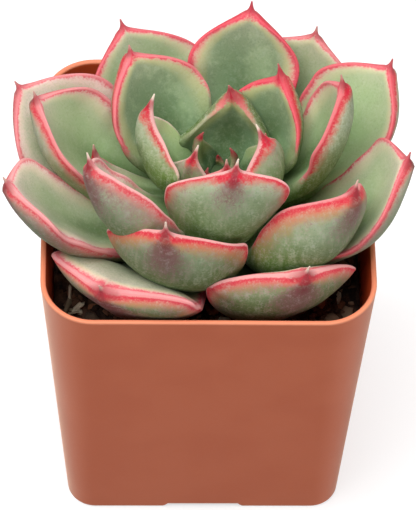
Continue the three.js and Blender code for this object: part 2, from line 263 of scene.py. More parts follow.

# How each leaf is coloured, by its place in the spiral: redness of its margin, where along the leaf
# that begins and which margin has more of it, how far the point's crimson reaches, white bloom, mauve
# under the point, how light both faces are (the leaf's own tone, with painted shade that darkens the low
# leaves and those in the heart), how pale its point is and how strong the painted highlight along its
# rim, and how tan it is below the margin
LEAF_LOOKS = {
    0: (1, 0.15, 0, 0.45, 0.7, 1.7, 0.35, 0.7, 0.6),
    1: (0.6, 0.4, 0, 0.4, 0.4, 0.4, 0.6, 0, 0.5),
    2: (0.95, 0.15, 0, 0.3, 0.9, 1.9, 0.35, 0.5, 1),
    3: (0.6, 0.3, 0, 0.3, 0.9, 1, 0.8, 0.1, 0.3),
    4: (0.75, 0.2, 0, 0.3, 2.2, 0.4, 0.9, 0.2, 0.2),
    6: (0.5, 0.2, 0, 0.2, 0.7, 0.4, 0.8, 0.3, 0.2),
    7: (0.75, 0.25, 0, 0.3, 1.4, 2.0, 0.6, 0.5, 0.4),
    8: (0.95, 0.3, 0, 0.5, 0.6, 1.3, 0.7, 0.5, 1),
    9: (0.75, 0.25, 0, 0.3, 0.6, 0.3, 0.75, 0.1, 0.3),
    10: (0.95, 0.3, 0, 0.25, 0.4, 1.7, 0.6, 0.8, 1),
    11: (0.7, 0.3, 0, 0.3, 0.6, 0.3, 0.9, 0.1, 0.2),
    12: (0.8, 0.25, 0, 0.4, 0.9, 0.8, 0.85, 0.4, 0.3),
    13: (0.95, 0.45, 0, 0.75, 0.6, 1.1, 1, 0.9, 0.2),
    14: (0.85, 0.25, 0, 0.6, 0.5, 0.3, 0.3, 0, 0.6),
    15: (0.8, 0.35, 0, 0.5, 1.3, 1.8, 0.8, 0.8, 0.2),
    16: (0.85, 0.35, -0.3, 0.7, 0.6, 0.3, 0.8, 0.3, 0.2),
    17: (0.8, 0.35, 0.3, 0.6, 0.4, 0.3, 0.3, 0.3, 0.3),
    18: (0.6, 0.5, 0, 0.8, 0.2, 0.5, 0.3, 0.5, 0.2),
    19: (0.6, 0.45, 0, 0.9, 0.25, 0.3, 0.3, 0.1, 0.2),
    20: (0.5, 0.5, 0, 0.6, 0.8, 0.3, 0.6, 0.5, 0.3),
    21: (0.75, 0.55, -0.2, 0.8, 0.5, 0.6, 0.8, 0.9, 0.1),
    22: (0.35, 0.55, 0, 0.9, 0.15, 0.3, 0.15, 0.2, 0.1),
    23: (0.3, 0.6, 0, 0.7, 0.4, 0.8, 0.7, 0.8, 0.1),
    24: (0.3, 0.65, 0, 0.6, 0.1, 0.5, 0.3, 0.2, 0.1),
    25: (0.55, 0.4, 0.6, 0.8, 0.4, 0.4, 1, 1, 0.1),
    27: (0.1, 0.7, 0, 0.2, 0, 1.2, 0, 0, 0),
    28: (0.1, 0.7, 0, 0.2, 0, 1.2, 0, 0.1, 0),
    29: (0.1, 0.7, 0, 0.2, 0, 1.2, 0, 0.1, 0),
    30: (0.2, 0.7, 0, 0.4, 0, 0.8, 0, 0.1, 0),
}
LOOK_FIELDS = ("blush", "from", "lean", "flush", "frost", "mauve", "light", "pale_point", "tan")

# What the leaf material reads on the mesh: first what is the same all over a leaf
WHOLE_LEAF = ("light", "pale_point", "flush", "tan")
LEAF_MAPS = WHOLE_LEAF + ("along", "edge_mm", "tip_mm", "upper", "ruddy", "mauve", "core", "bloom", "hollow")


# Colours


def shade(red, green, blue):
    """A colour given as it looks on a screen, 0 to 255, as the linear one that a material takes."""
    return tuple((c / 255 / 12.92) if c <= 10 else ((c / 255 + 0.055) / 1.055) ** 2.4 for c in (red, green, blue))


# Upper face of a leaf. Two colours on a line are the ends of a range, here the dark leaf's and the
# light leaf's
SAGE = shade(84, 114, 82), shade(166, 196, 138)
SAGE_PATCH = shade(176, 200, 150)
# The hollow green is painted shade, darkening the middle and the base of the upper face
HOLLOW_SHADE_GREEN = shade(50, 80, 38), shade(74, 110, 40)
CREAM = shade(200, 208, 124)
HALO = shade(216, 192, 122), shade(240, 220, 192)

# Lower face of a leaf, its two pairs again for the dark leaf and the light one
# The base green is partly the leaf's own greener base and partly painted shade near the soil; the shaded green is
# painted shade where the face looks down
BASE_GREEN_AND_SHADE = shade(78, 112, 36), shade(112, 146, 66)
CELADON = shade(126, 142, 96), shade(180, 194, 166)
OLIVE_PATCH = shade(112, 128, 56)
SHADED_GREEN = shade(72, 96, 34)
FROSTED_STREAK = shade(206, 214, 186)

# Mauve and brown under the point, each first as it is farther away and then at the point
DUSKY_MAUVE = shade(122, 76, 74), shade(138, 44, 56)
BROWNED = shade(124, 80, 80), shade(116, 38, 50)

# Margin and point of a leaf. The pairs are for the lower and the upper face
STREAK_SHADOW = shade(62, 74, 34)
TAN = shade(190, 132, 70)
CORAL = shade(214, 84, 78), shade(236, 92, 116)
CRIMSON = shade(206, 8, 48), shade(224, 16, 66)
# The rim white is partly pale bloom on the margin's edge and partly a painted highlight where the edge catches the
# light
RIM_BLOOM_AND_HIGHLIGHT = shade(252, 222, 214)
BLOOM_WHITE = shade(250, 220, 214)
FLECK_WHITE = shade(232, 236, 222)
POINT_BROWN = shade(112, 48, 36)
POINT_RED = shade(182, 48, 66)
POINT_WHITE = shade(250, 234, 214)

# Pot, soil and stem
CLAY = shade(208, 96, 48), shade(204, 92, 45)
FLOW_MARK = shade(212, 102, 56)
# The inner clay is painted light on the inside walls, and the lip clay a painted highlight along the lip
INNER_CLAY_PAINTED_LIGHT = shade(238, 92, 46)
LIP_CLAY_HIGHLIGHT = shade(244, 162, 126)
SPLASH = shade(58, 38, 28)
CLAY_SHEEN = (1, 0.72, 0.56, 1)
PEAT = shade(24, 15, 11), shade(108, 76, 56)
BARK_CHIP = shade(60, 32, 20), shade(156, 102, 70)
PALE_FIBRE = shade(120, 106, 84), shade(206, 194, 168)
GRIT = shade(72, 58, 46), shade(136, 114, 92)
STEM_BARK = shade(132, 104, 72), shade(96, 74, 52)
STEM_GREEN = shade(150, 164, 108)
# The stem's deep green is painted shade for its top in the heart of the rosette
STEM_HEART_SHADE = shade(62, 84, 48)


# Camera


def place_camera():
    """A long lens at the photograph's angle, its aim at the middle of the picture."""
    elevation, yaw, roll = (math.radians(d) for d in (CAMERA_ELEVATION, CAMERA_YAW, CAMERA_ROLL))
    back = Vector((math.sin(yaw) * math.cos(elevation), -math.cos(yaw) * math.cos(elevation), math.sin(elevation)))
    right = Vector((math.cos(yaw), math.sin(yaw), 0))
    up = back.cross(right)
    level = Matrix((right, up, back)).transposed()
    camera = bpy.data.objects.new("camera", bpy.data.cameras.new("camera"))
    bpy.context.scene.collection.objects.link(camera)
    camera.data.sensor_width = CAMERA_SENSOR
    camera.data.sensor_height = CAMERA_SENSOR
    camera.data.lens = CAMERA_SENSOR * FOCAL_LENGTH_PX / PICTURE_HEIGHT_PX
    camera.data.clip_start = CLIP_NEAR
    camera.data.clip_end = CLIP_FAR
    turn = level.to_4x4() @ Matrix.Rotation(roll, 4, "Z")
    camera.matrix_world = Matrix.Translation(Vector(CAMERA_AIM) * MM + back * CAMERA_DISTANCE) @ turn
    bpy.context.scene.camera = camera


# Materials


class Link:
    """A node's output. An expression of it adds Math nodes."""

    def __init__(self, finish, socket):
        self.finish = finish
        self.socket = socket

    def maths(self, operation, *values):
        return self.finish.node("ShaderNodeMath", {"operation": operation}, dict(enumerate(values)))

    def __add__(self, other):
        return self.maths("ADD", self, other)

    __radd__ = __add__

    def __mul__(self, other):
        return self.maths("MULTIPLY", self, other)

    __rmul__ = __mul__

    def __sub__(self, other):
        return self.maths("SUBTRACT", self, other)

    def __rsub__(self, other):
        return self.maths("SUBTRACT", other, self)

    def __truediv__(self, other):
        return self.maths("DIVIDE", self, other)

    def most(self, other):
        return self.maths("MAXIMUM", self, other)

    def around(self, amount):
        """A noise moved to swing about 0 and scaled by that amount."""
        return (self - 0.5) * amount

    def step(self, low, high):
        """0 at low and 1 at high, with a soft rise between; low may be above high."""
        inputs = {"Value": self, "From Min": low, "From Max": high}
        return self.finish.node("ShaderNodeMapRange", {"interpolation_type": "SMOOTHSTEP"}, inputs)


class Finish:
    """One material and the nodes of its surface."""

    def __init__(self, name):
        self.material = bpy.data.materials.new(name)
        self.material.use_nodes = True
        self.tree = self.material.node_tree
        self.surface = self.tree.nodes["Principled BSDF"]

    def node(self, kind, settings=None, inputs=None, output=0):
        made = self.tree.nodes.new(kind)
        for name, value in (settings or {}).items():
            setattr(made, name, value)
        for name, value in (inputs or {}).items():
            self.feed(made.inputs[name], value)
        return Link(self, made.outputs[output])

    def feed(self, socket, value):
        if isinstance(value, Link):
            self.tree.links.new(value.socket, socket)
        elif isinstance(value, tuple) and len(value) == 3 and socket.type == "RGBA":
            socket.default_value = (*value, 1)
        else:
            socket.default_value = value

    def mix(self, first, second, share):
        """One colour turning into another; the Mix node's colour sockets have the numbers 6, 7 and 2."""
        return self.node("ShaderNodeMix", {"data_type": "RGBA"}, {0: share, 6: first, 7: second}, 2)

    def place(self):
        return self.node("ShaderNodeTexCoord", output="Object")

    def noise(self, size, detail=2.0, roughness=0.5, where=None):
        """Even noise round 0.5 whose lumps are about that many millimetres across."""
        inputs = {"Vector": where or self.place(), "Scale": 1 / (size * MM), "Detail": detail, "Roughness": roughness}
        return self.node("ShaderNodeTexNoise", inputs=inputs)

    def stretched(self, scale):
        """The object's own coordinates, scaled along each axis."""
        return self.node("ShaderNodeVectorMath", {"operation": "MULTIPLY"}, {0: self.place(), 1: scale})

    def height(self):
        """Metres above the ground."""
        return self.node("ShaderNodeSeparateXYZ", inputs={"Vector": self.place()}, output="Z")

    def slope(self):
        """1 where the surface looks up, -1 where it looks down."""
        normal = self.node("ShaderNodeNewGeometry", output="Normal")
        return self.node("ShaderNodeSeparateXYZ", inputs={"Vector": normal}, output="Z")

    def field(self, name):
        """A number kept on the mesh's points."""
        return self.node("ShaderNodeAttribute", {"attribute_name": name}, output="Fac")

    def bump(self, height, distance, strength):
        return self.node("ShaderNodeBump", inputs={"Height": height, "Distance": distance * MM, "Strength": strength})

    def set(self, **values):
        for name, value in values.items():
            self.feed(self.surface.inputs[name.replace("_", " ")], value)


def upper_face(leaf, on):
    """Sage, with painted shade in a deeper green down the hollow and at the base, and creamy yellow towards the
    margin.
    """
    sage = leaf.mix(*SAGE, on.light)
    sage = leaf.mix(sage, SAGE_PATCH, (on.patches + on.mottle.around(0.4)).step(0.42, 0.7) * 0.36)
    # Painted shade: a darker green down the middle of the hollow and at the base, where the leaves above shade it
    hollow_shade_share = (on.hollow + on.patches.around(0.4) + on.streaks.around(0.15)).step(0.15, 0.95)
    sage = leaf.mix(sage, leaf.mix(*HOLLOW_SHADE_GREEN, on.light), hollow_shade_share * 0.72)
    creamy = (on.edge_mm + on.mottle.around(1.5)).step(4.0, 0.8) * on.along.step(0.2, 0.5)
    return leaf.mix(sage, CREAM, creamy * (0.3 + 0.35 * on.ruddy))


def lower_face(leaf, on):
    """Celadon, greener towards the base, partly its own colour and partly painted shade, and painted shade in dark
    green where it looks down, with mauve specks under the point.
    """
    # The leaf's own greener base mixed with painted shade: darker towards the stem and near the soil
    base_green_and_shade = leaf.mix(*BASE_GREEN_AND_SHADE, on.light.step(0.4, 1.0))
    celadon = leaf.mix(*CELADON, on.light.step(0.2, 0.9))
    celadon = leaf.mix(celadon, base_green_and_shade, (on.along + on.patches.around(0.35)).step(1.0, 0.4))
    celadon = leaf.mix(celadon, OLIVE_PATCH, on.patches.step(0.5, 0.75) * 0.35)
    # Painted shade: darker green where the face looks down
    shaded = (leaf.slope() + on.patches.around(0.7)).step(0.6, -0.4)
    celadon = leaf.mix(celadon, SHADED_GREEN, shaded * (0.85 - 0.35 * on.light))
    streaked = (on.streaks + on.grain.around(0.5)).step(0.45, 0.75)
    celadon = leaf.mix(celadon, FROSTED_STREAK, streaked * (0.4 - 0.25 * shaded))
    speckle = on.grain.around(1.8) + on.streaks.around(0.9)
    dusky = (on.mauve + speckle * on.mauve.step(0.0, 0.4)).step(0.05, 1.1)
    return leaf.mix(celadon, leaf.mix(*DUSKY_MAUVE, on.tip_mm.step(7.0, 2.6)), dusky * 0.9)


def redden(leaf, on, face):
    """Straw or tan near the margin, then coral, then crimson, speckled where they meet.

    The point is crimson all over. The coral and the crimson shares are returned with the face.
    """
    below = 1 - on.upper
    ragged = on.edge_mm + on.mottle.around(1.2) + on.grain.around(1.1)
    flushed = ((on.tip_mm + on.mottle.around(1.6) + on.grain.around(1.5)) / on.flush).step(5.6, 3.0)
    turned = on.edge_mm + on.mottle.around(1.8) + on.grain.around(1.8) + on.patches.around(4)
    face = leaf.mix(face, TAN, turned.step(4.4, 1.0) * on.ruddy * below * on.tan * 0.72)
    haloed = (ragged.step(4.0, 0.8) * on.ruddy).most(flushed) * on.upper
    face = leaf.mix(face, leaf.mix(*HALO, on.light.step(0.1, 0.6)), haloed * 0.45)
    narrowed = ragged / on.ruddy.most(0.05)
    red_enough = on.ruddy.step(0.05, 0.4)
    coral = (narrowed.step(3.0 - 0.5 * on.upper, 0.1) * red_enough).most(flushed)
    crimson = (narrowed.step(1.7 - 0.2 * on.upper, 0.3) * red_enough).most(flushed)
    face = leaf.mix(face, leaf.mix(*CORAL, on.upper), coral * 0.9)
    face = leaf.mix(face, leaf.mix(*CRIMSON, on.upper), crimson * 0.97)
    browned = (on.core + on.grain.around(0.9) + on.mottle.around(0.5)).step(0.15, 0.9) * on.core.step(0.0, 0.2)
    face = leaf.mix(face, leaf.mix(*BROWNED, on.tip_mm.step(5.0, 2.0)), browned * below * 0.68)
    # Partly pale bloom and partly a painted highlight along the very edge of the margin
    rim = (on.edge_mm + on.mottle.around(0.5) + on.grain.around(0.5)).step(0.42, 0.12) * on.along.step(0.2, 0.5)
    face = leaf.mix(face, RIM_BLOOM_AND_HIGHLIGHT, rim * (0.02 + 0.6 * on.pale_point))
    return face, coral, crimson


def frost(leaf, on, face, coral, crimson):
    """Waxy bloom, whitish pink and rubbed off in specks, and the dry tip."""
    frosted = on.bloom * (0.75 + 0.25 * on.patches.step(0.3, 0.6)) * (0.7 + 0.3 * on.grain.step(0.3, 0.6))
    face = leaf.mix(face, BLOOM_WHITE, frosted * (0.85 - 0.55 * crimson))
    flecked = (on.mottle * 0.5 + on.grain * 0.5).step(0.46, 0.7)
    face = leaf.mix(face, FLECK_WHITE, flecked * (0.2 - 0.12 * on.upper - 0.1 * coral))
    dried = (on.tip_mm - 1.5 + on.mottle.around(0.8)).step(0.9, 0.2) * (1 - on.upper)
    face = leaf.mix(face, POINT_BROWN, dried * 0.4)
    face = leaf.mix(face, POINT_RED, on.tip_mm.step(2.4, 1.0) * 0.5)
    return leaf.mix(face, POINT_WHITE, on.tip_mm.step(1.1, 0.3) * on.pale_point * 0.9)


def leaf_finish():
    leaf = Finish("leaf_flesh")
    on = SimpleNamespace(**{name: leaf.field(name) for name in LEAF_MAPS})
    on.patches = leaf.noise(6, 2)
    on.mottle = leaf.noise(1.3, 3, 0.6)
    on.grain = leaf.noise(0.36, 2, 0.7)
    on.streaks = leaf.noise(0.8, 2, 0.6, leaf.stretched((1, 1, 0.2)))

    face = leaf.mix(lower_face(leaf, on), upper_face(leaf, on), on.upper)
    shadowy = (on.grain * 0.55 + on.streaks * 0.45).step(0.5, 0.28)
    face = leaf.mix(face, STREAK_SHADOW, shadowy * (0.3 - 0.12 * on.upper))
    face, coral, crimson = redden(leaf, on, face)
    leaf.set(
        Base_Color=frost(leaf, on, face, coral, crimson),
        Roughness=0.6 + 0.16 * on.mottle - 0.08 * crimson,
        Normal=leaf.bump(on.mottle * 0.6 + on.grain * 0.5, 0.05, 0.5),
        Subsurface_Weight=0.12,
        Subsurface_Radius=(1.0, 0.7, 0.35),
        Subsurface_Scale=0.0012,
        Specular_IOR_Level=0.2,
        Sheen_Weight=0.04,
        Sheen_Roughness=0.5,
    )
    return leaf.material


def pot_finish(name, sheen):
    """Moulded plastic with faint flow marks, splashed with soil inside, with painted light making the inside a
    brighter orange and a painted highlight on the lip.
    """
    pot = Finish(name)
    cloud = pot.noise(14, 2)
    grain = pot.noise(0.5, 2, 0.6)
    flow = pot.noise(6, 2, 0.5, pot.stretched((1, 1, 0.12)))
    height = pot.height()
    inner = pot.field("inner")
    clay = pot.mix(*CLAY, cloud.step(0.35, 0.65))
    clay = pot.mix(clay, FLOW_MARK, flow.step(0.5, 0.75) * 0.25)
    # Painted light: the inside walls a brighter, more saturated orange than the outside
    clay = pot.mix(clay, INNER_CLAY_PAINTED_LIGHT, inner * 0.8)
    # Painted highlight along the lip
    clay = pot.mix(clay, LIP_CLAY_HIGHLIGHT, height.step((POT_HEIGHT - 0.6) * MM, (POT_HEIGHT - 0.2) * MM) * 0.65)
    splash = (pot.noise(1.1, 3, 0.6) - height.step(SOIL_LEVEL * MM, (SOIL_LEVEL + 7) * MM) * 0.4).step(0.46, 0.62)
    clay = pot.mix(clay, SPLASH, splash * inner * 0.6)
    pot.set(
        Base_Color=clay,
        Roughness=0.38 + 0.12 * grain + 0.1 * cloud,
        Normal=pot.bump(grain * 0.4 + flow * 1.5, 0.03, 0.5),
        Specular_IOR_Level=0.25,
        Sheen_Weight=sheen,
        Sheen_Tint=CLAY_SHEEN,
        Sheen_Roughness=0.35,
    )
    return pot.material


def soil_finish(name, colours, grain_size=0.5):
    """Rough crumbs between a dark and a light colour, each fragment in a tone of its own."""
    mix = Finish(name)
    tone = mix.field("tone")
    grain = mix.noise(grain_size, 4, 0.7)
    lumps = mix.noise(grain_size * 4, 3, 0.6)
    mix.set(
        Base_Color=mix.mix(*colours, (grain * 0.6 + tone * 0.7 + lumps * 0.2).step(0.35, 1.1)),
        Roughness=0.78 + 0.2 * grain,
        Normal=mix.bump(grain + lumps, 0.25, 0.9),
        Specular_IOR_Level=0.3,
    )
    return mix.material


def stem_finish():
    """Ringed bark that turns green among the leaves, and dark green painted shade at its top in the heart of the
    rosette.
    """
    stem = Finish("stem_flesh")
    rings = stem.noise(1.2, 3, 0.6, stem.stretched((0.4, 0.4, 1)))
    grain = stem.noise(0.5, 3, 0.6)
    height = stem.height()
    bark = stem.mix(*STEM_BARK, rings.step(0.4, 0.6))
    green = stem.mix(bark, STEM_GREEN, (height + grain.around(0.004)).step(0.053, 0.060))
    # Painted shade: the top of the stem dark green, where it sits in the shaded heart
    green = stem.mix(green, STEM_HEART_SHADE, height.step(0.062, 0.066))
    stem.set(Base_Color=green, Roughness=0.7 + 0.2 * grain, Normal=stem.bump(rings + grain * 0.4, 0.2, 0.7))
    return stem.material


# Meshes


def ramp(values, start, span):
    """0 up to the start, then rising evenly to 1 over the span."""
    return np.clip((values - start) / span, 0, 1)


def eased(values, end):
    """0 at 0, rising ever more gently to 1 at the end."""
    return np.sin(np.pi / 2 * ramp(values, 0, end))


def bell(values, width):
    return np.exp(-((values / width) ** 2))


def ripple(points, size, seed, waves=7):
    """Smooth noise between about -1 and 1 whose lumps are about that size, from seeded waves."""
    draw = np.random.default_rng(seed)
    total = np.zeros(len(points))
    for _ in range(waves):
        direction = draw.normal(size=3)
        direction /= np.linalg.norm(direction)
        length = size * draw.uniform(1.2, 3.2)
        total += np.sin(points @ direction * (2 * np.pi / length) + draw.uniform(0, 2 * np.pi))
    return total / math.sqrt(waves)


def make_piece(name, points, faces, material, fields=None):
    """A mesh from points in millimetres, standing where it is made and riding on the pot."""
    mesh = bpy.data.meshes.new(name)
    mesh.from_pydata((np.asarray(points) * MM).tolist(), [], [list(map(int, f)) for f in faces])
    mesh.validate()
    for field, values in (fields or {}).items():
        mesh.attributes.new(field, "FLOAT", "POINT").data.foreach_set("value", np.asarray(values, np.float32))
    mesh.polygons.foreach_set("use_smooth", [True] * len(mesh.polygons))
    mesh.materials.append(material)
    piece = bpy.data.objects.new(name, mesh)
    bpy.context.scene.collection.objects.link(piece)
    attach(piece, "root")
    return piece


def skin_loops(count, loops):
    """Faces over loops of points laid one after the other, with a fan to one more point at either end."""
    faces = []
    for i in range(loops - 1):
        for j in range(count):
            k = (j + 1) % count
            faces.append((i * count + j, i * count + k, (i + 1) * count + k, (i + 1) * count + j))
    first, last = loops * count, loops * count + 1
    start = (loops - 1) * count
    faces += [(first, (j + 1) % count, j) for j in range(count)]
    faces += [(last, start + j, start + (j + 1) % count) for j in range(count)]
    return faces


# Leaves


def stem_radius(up):
    return STEM_BASE + (STEM_TOP - STEM_BASE) * max(up, 0) ** STEM_TAPER


def blade_half(leaf, t, length):
    """Half the blade's width in millimetres: a swelling base, a rounded crown and a drawn-out point."""
    half_width = leaf["width"] / 2
    fine = np.linspace(0, 1, OUTLINE_STEPS)
    point = MUCRO_LENGTH + MUCRO_GROWTH * leaf["order"] + LONG_POINTS.get(leaf["order"], 0)
    mucro = min(point / length, LONGEST_MUCRO)
    rise = BASE_WIDTH + (1 - BASE_WIDTH) * eased(fine, leaf["widest"]) ** BASE_SWELL
    x = ramp(fine, leaf["widest"], 1 - mucro - leaf["widest"])
    crown = (1 - x ** (CROWN_FULLNESS / leaf["point"])) ** leaf["point"]
    from_tip = (1 - fine) * length
    spike = MUCRO_TIP + MUCRO_SLOPE * from_tip + MUCRO_FLARE * from_tip**2
    spike = np.minimum(spike, SHOULDER + SHOULDER_SLOPE * from_tip) / half_width
    share = np.where(fine < leaf["widest"], rise, crown + np.minimum(spike, 1) * (1 - crown))

    # Where the crown runs into the point, the outline is softened by a weighted mean
    offsets = np.linspace(-2.4, 2.4, 25)
    weights = np.exp(-0.5 * offsets**2)
    reach = TIP_SOFTNESS / length
    shifted = [np.interp(fine + o * reach, fine, share, right=MUCRO_TIP / half_width) for o in offsets]
    softened = np.tensordot(weights / weights.sum(), np.array(shifted), 1)
    near_tip = ramp(10 - from_tip, 0, 4) * ramp(from_tip, 0, 1.2)
    return half_width * np.interp(t, fine, share + near_tip * (softened - share))


class Blade:
    """One leaf's skin as rows of points: t runs from the stem to the tip, s from margin to margin."""

    def __init__(self, leaf, length):
        self.leaf = leaf
        self.length = length
        self.scale = leaf["width"] / USUAL_WIDTH
        self.t = (1 - (1 - np.linspace(0, 1, LEAF_ROWS)) ** ROW_CROWDING)[:, None]
        self.half = blade_half(leaf, self.t, length)
        root = ROOT_MARGIN * self.half
        rolled = root + (MARGIN_RADIUS - root) * ramp(self.t, 0, CREASED_FROM)
        self.margin = np.minimum(rolled, POINT_MARGIN * self.half)
        self.lay_across()

    def lay_across(self):
        """Points over the upper face of a row, round its margins and back under the lower face."""
        rim_start = 1 - self.margin / self.half
        body = np.sin(np.linspace(-1, 1, BLADE_POINTS) * np.pi / 2 * BLADE_CROWDING)
        body = body / math.sin(np.pi / 2 * BLADE_CROWDING)
        outward = rim_start + (1 - rim_start) * np.sin(np.linspace(0, np.pi / 2, RIM_POINTS + 1)[1:])
        upper = np.concatenate([-outward[:, ::-1], body * rim_start, outward], 1)
        self.s = np.concatenate([upper[:, ::-1], upper[:, 1:-1]], 1)
        self.above = np.concatenate([np.ones(upper.shape[1]), -np.ones(upper.shape[1] - 2)])
        self.into_rim = ramp(np.abs(self.s), rim_start, 1 - rim_start)

    def run(self, start, rise, end):
        """0 up to the start and at the tip, and 1 between, as shares of the leaf's length."""
        return ramp(self.t, start, rise) * ramp(1 - self.t, 0, end)

    def bend(self):
        """The angle in radians by which the cupped blade has turned at each point, and at its margin."""
        fold = eased(self.t, CUPPED_BY) ** CUP_SOFTNESS
        opened = OPENING * ramp(self.t, OPENING_FROM, 1 - OPENING_FROM)
        cup = np.radians(self.leaf["cup"]) * fold * (1 - opened) + LEAST_CUP
        return cup * self.s, cup

    def offset(self):
        """How far each point stands above the blade's middle, or below it on the lower face."""
        leaf, t, s = self.leaf, self.t, self.s
        within = np.maximum(self.half - self.margin, 0)
        fullest = min(THICKNESS, leaf["width"] * THICKNESS_OF_WIDTH)
        root = ROOT_THICKNESS + (1 - ROOT_THICKNESS) * eased(t, FULLEST_FROM)
        thinned = fullest * root * (1 - END_THINNING * t**THINNING_POWER)
        thick = np.minimum(thinned, POINT_THICKNESS * within)
        lift = np.sin(np.pi * ramp(t, SWELL_FROM, 1 - SWELL_FROM) ** SWELL_PEAK)
        swollen = np.minimum(leaf["swell"] * lift, SWELL_RISE * within)
        valley = VALLEY * self.scale * bell(s, VALLEY_WIDTH) * self.run(**VALLEY_RUN)
        keel = KEEL * self.scale * bell(s, KEEL_WIDTH) * self.run(**KEEL_RUN)
        top = (UPPER_BELLY * thick + swollen) * (1 - s * s) ** UPPER_ROUNDING - valley
        bottom = LOWER_BELLY * thick * (1 - np.abs(s) ** LOWER_FLATNESS) + keel
        rim = np.sqrt(np.clip(1 - self.into_rim**2, 0, 1))
        return self.above * (self.margin * rim + np.where(self.above > 0, top, bottom))

    def wave(self):
        """The margins rise and fall a little, each in its own way."""
        phases = np.random.default_rng(WAVE_SEED + self.leaf["order"]).uniform(0, 2 * np.pi, (2, 2))
        left, right = (
            np.sin(2 * np.pi * slow * self.t + first) + 0.5 * np.sin(2 * np.pi * fast * self.t + second)
            for (slow, fast), (first, second) in zip(WAVES_ALONG, phases)
        )
        waving = ramp(self.t, 0.25, 0.3) * ramp(self.half, 0, 4) * np.abs(self.s) ** 3
        return MARGIN_WAVE * self.scale * waving * np.where(self.s < 0, left, right)

    def fields(self):
        """What the leaf material reads at each point, the two ends of the leaf last."""
        leaf, t, s = self.leaf, self.t, self.s
        edge = self.half * (1 - np.abs(s))
        from_tip = (1 - t) * self.length
        one_sided = np.clip(1 + leaf["lean"] * s, 0, 1)
        central = 0.6 * bell(s, MAUVE_WIDTH) * bell(from_tip, MAUVE_REACH)
        marginal = 0.75 * np.exp(-edge / MARGIN_MAUVE_REACH) * ramp(t, 0.25, 0.3)
        near_margin = 0.9 * np.exp(-edge / MARGIN_BLOOM_REACH) * ramp(t, 0.3, 0.3)
        near = np.maximum(np.exp(-from_tip / BLOOM_REACH), near_margin)
        bloom = leaf["frost"] * np.where(self.above > 0, near, 0.4 * near * np.abs(s))
        # Where painted shade darkens the upper face: down its middle and at its base
        hollow = np.maximum(bell(s, HOLLOW_SHADE_WIDTH) * ramp(0.85 - t, 0, 0.45), ramp(0.4 - t, 0, 0.3))

        # Each field over the grid, then at the stem and at the tip
        spread = {
            "along": (t, 0, 1),
            "edge_mm": (edge, 5, 0),
            "tip_mm": (from_tip, self.length, 0),
            "upper": (0.5 + 0.5 * self.above * (1 - self.into_rim), 0.5, 0.5),
            "ruddy": (leaf["blush"] * one_sided * ramp(t, leaf["from"], 0.3), 0, leaf["blush"]),
            "mauve": (leaf["mauve"] * np.maximum(central, marginal), 0, leaf["mauve"]),
            "core": (leaf["mauve"] * bell(s, CORE_WIDTH) * bell(from_tip, CORE_REACH), 0, 0),
            "bloom": (np.clip(bloom, 0, 1), 0, min(leaf["frost"], 1)),
            "hollow": (hollow, 1, 0),
        }
        spread.update({name: (leaf[name], leaf[name], leaf[name]) for name in WHOLE_LEAF})
        return {
            name: np.append(np.broadcast_to(values, s.shape).ravel(), [stem, tip])
            for name, (values, stem, tip) in spread.items()
        }


def make_leaf(leaf, number, material):
    azimuth = math.radians(FIRST_AZIMUTH + DIVERGENCE * leaf["order"] + leaf["sway"])
    out = np.array([math.cos(azimuth), math.sin(azimuth), 0])
    up = np.array([0.0, 0, 1])
    side = np.cross(up, out)
    share = leaf["order"] / LAST_ORDER
    base = np.array([stem_radius(share) - LEAF_INSET, LOWEST_LEAF + (HIGHEST_LEAF - LOWEST_LEAF) * share])
    tip = np.array([leaf["reach"], leaf["height"]])
    chord = tip - base
    knee = (base + tip) / 2 + np.array([chord[1], -chord[0]]) * KNEE_DEPTH * leaf["sag"]
    blade = Blade(leaf, np.linalg.norm(chord) * ARC_OF_CHORD)

    # The midrib is a curve from the stem over the knee to the tip; the blade rolls about it
    t = blade.t
    midrib = (1 - t) ** 2 * base + 2 * t * (1 - t) * knee + t**2 * tip
    ahead = (1 - t) * (knee - base) + t * (tip - knee)
    ahead /= np.linalg.norm(ahead, axis=1)[:, None]
    inner = ahead[:, :1] * up - ahead[:, 1:] * out
    roll = np.radians(leaf["roll"]) * ramp(t, 0, ROLLED_BY)
    sideways = np.cos(roll) * side + np.sin(roll) * inner
    normal = np.cos(roll) * inner - np.sin(roll) * side

    bend, cup = blade.bend()
    offset = blade.offset()
    x = blade.half * np.sin(bend) / cup - offset * np.sin(bend)
    y = blade.half * (1 - np.cos(bend)) / cup + blade.wave() + offset * np.cos(bend)
    axis = np.array([STEM_X, STEM_Y, 0])
    spine = axis + midrib[:, :1] * out + midrib[:, 1:] * up + 4 * leaf["bow"] * t * (1 - t) * side
    grid = spine[:, None, :] + x[..., None] * sideways[:, None, :] + y[..., None] * normal[:, None, :]
    uneven = ripple(grid.reshape(-1, 3), SURFACE_WAVE_SIZE, SURFACE_WAVE_SEED + leaf["order"])
    uneven = uneven.reshape(x.shape) * SURFACE_WAVE * ramp(blade.half, 0, 3)
    grid = grid + normal[:, None, :] * uneven[..., None]

    end = grid[-1].mean(0) + np.append(ahead[-1, 0] * out[:2], ahead[-1, 1]) * POINT_CAP
    points = np.concatenate([grid.reshape(-1, 3), grid[0].mean(0)[None], end[None]])
    faces = skin_loops(x.shape[1], LEAF_ROWS)
    name = f"leaf_{number:02d}"
    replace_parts(make_piece(name + "_fine", points, faces, material, blade.fields()), name)


# Pot


